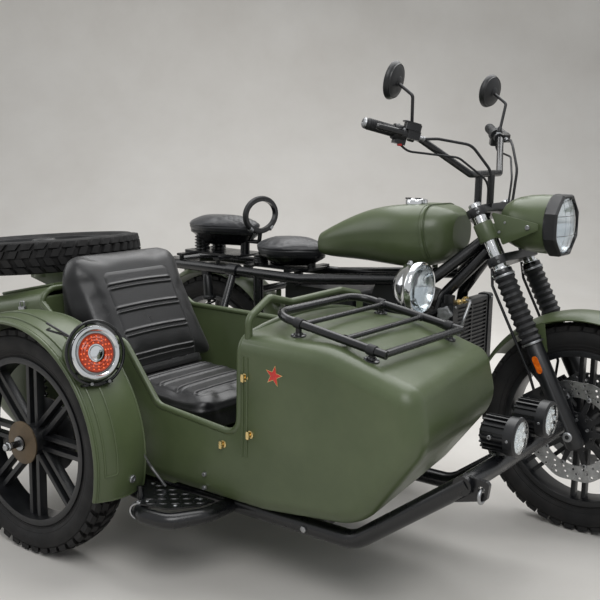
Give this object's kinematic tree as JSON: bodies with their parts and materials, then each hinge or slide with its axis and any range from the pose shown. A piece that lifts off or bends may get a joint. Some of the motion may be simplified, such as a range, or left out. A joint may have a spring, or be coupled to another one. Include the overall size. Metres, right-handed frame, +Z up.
{
  "type": "sidecar motorcycle",
  "caption": "Green motorcycle with an open one-seat sidecar, a spare wheel on the trunk lid, a nose rack and a steering front fork; rolls on three cast wheels.",
  "frame": {"origin": "on the ground at the middle of the whole outfit's length and width", "axes": "+X forward, +Y to the left (the motorcycle's side, the sidecar is on the right), +Z up"},
  "size_m": [2.3789, 1.6977, 1.4298],
  "materials": {
    "green_paint": "matt army green paint",
    "black_paint": "satin black powder coat",
    "engine_black": "satin black painted castings",
    "chrome": "polished chrome",
    "bright_steel": "brushed and ground steel",
    "exhaust_black": "heat-proof satin black",
    "tyre_rubber": "treaded tyre rubber",
    "rubber": "matt moulded rubber",
    "saddle_leather": "stitched dark grey leather",
    "seat_leather": "stitched black leather",
    "lamp_lens": "clear moulded lens",
    "red_lens": "gloss red lens",
    "black_plastic": "grained black plastic"
  },
  "bodies": {
    "chassis": {"battery_box": "black_plastic", "drive_chain": "bright_steel", "engine": "engine_black", "exhaust": "exhaust_black", "fender_lamp": "chrome", "fog_lamps": "black_paint", "foot_controls": "black_paint", "fuel_tank": "green_paint", "grab_rail": "green_paint", "main_frame": "black_paint", "nose_rack": "black_paint", "pillion_saddle": "saddle_leather", "radiator": "black_paint", "rear_fender": "green_paint", "rider_saddle": "saddle_leather", "saddle_mounts": "black_paint", "seat_back": "seat_leather", "seat_cushion": "seat_leather", "shock_absorbers": "black_paint", "sidecar_arm": "black_paint", "sidecar_chassis": "black_paint", "sidecar_fender": "green_paint", "sidecar_struts": "black_paint", "spot_lamp": "chrome", "step_board": "black_paint", "swing_arm": "black_paint", "tail_lamps": "red_lens", "tub": "green_paint"},
    "steering": {"fork_sliders": "black_paint", "fork_gaiters": "rubber", "fork_stanchions": "chrome", "yokes": "black_paint", "handlebar": "black_paint", "hand_controls": "rubber", "mirrors": "black_paint", "headlamp": "green_paint", "headlamp_lens": "lamp_lens", "lamp_brackets": "green_paint", "front_fender": "green_paint", "front_calipers": "black_paint"},
    "front_wheel": {"front_wheel": "black_paint", "front_tyre": "tyre_rubber", "front_discs": "bright_steel"},
    "rear_wheel": {"rear_wheel": "black_paint", "rear_tyre": "tyre_rubber"},
    "sidecar_wheel": {"sidecar_wheel": "black_paint", "sidecar_tyre": "tyre_rubber"},
    "trunk": {"trunk_lid": "green_paint", "spare_wheel": "black_paint", "spare_tyre": "tyre_rubber"}
  },
  "joints": [
    {"name": "steering", "type": "hinge", "parent": "chassis", "child": "steering", "pos_m": [0.78585, 0.418, 0.30653], "axis": [-0.4695, 0, 0.8829], "range_deg": [-35, 35]},
    {"name": "front_wheel_spin", "type": "hinge", "parent": "steering", "child": "front_wheel", "pos_m": [0.83, 0.418, 0.33], "axis": [0, 1, 0], "continuous": true},
    {"name": "rear_wheel_spin", "type": "hinge", "parent": "chassis", "child": "rear_wheel", "pos_m": [-0.67, 0.418, 0.33], "axis": [0, 1, 0], "continuous": true},
    {"name": "sidecar_wheel_spin", "type": "hinge", "parent": "chassis", "child": "sidecar_wheel", "pos_m": [-0.365, -0.735, 0.33], "axis": [0, 1, 0], "continuous": true},
    {"name": "trunk_hinge", "type": "hinge", "parent": "chassis", "child": "trunk", "pos_m": [-0.66295, -0.005, 0.71301], "axis": [-0.9748, 0, -0.223], "range_deg": [0, 60]}
  ]
}
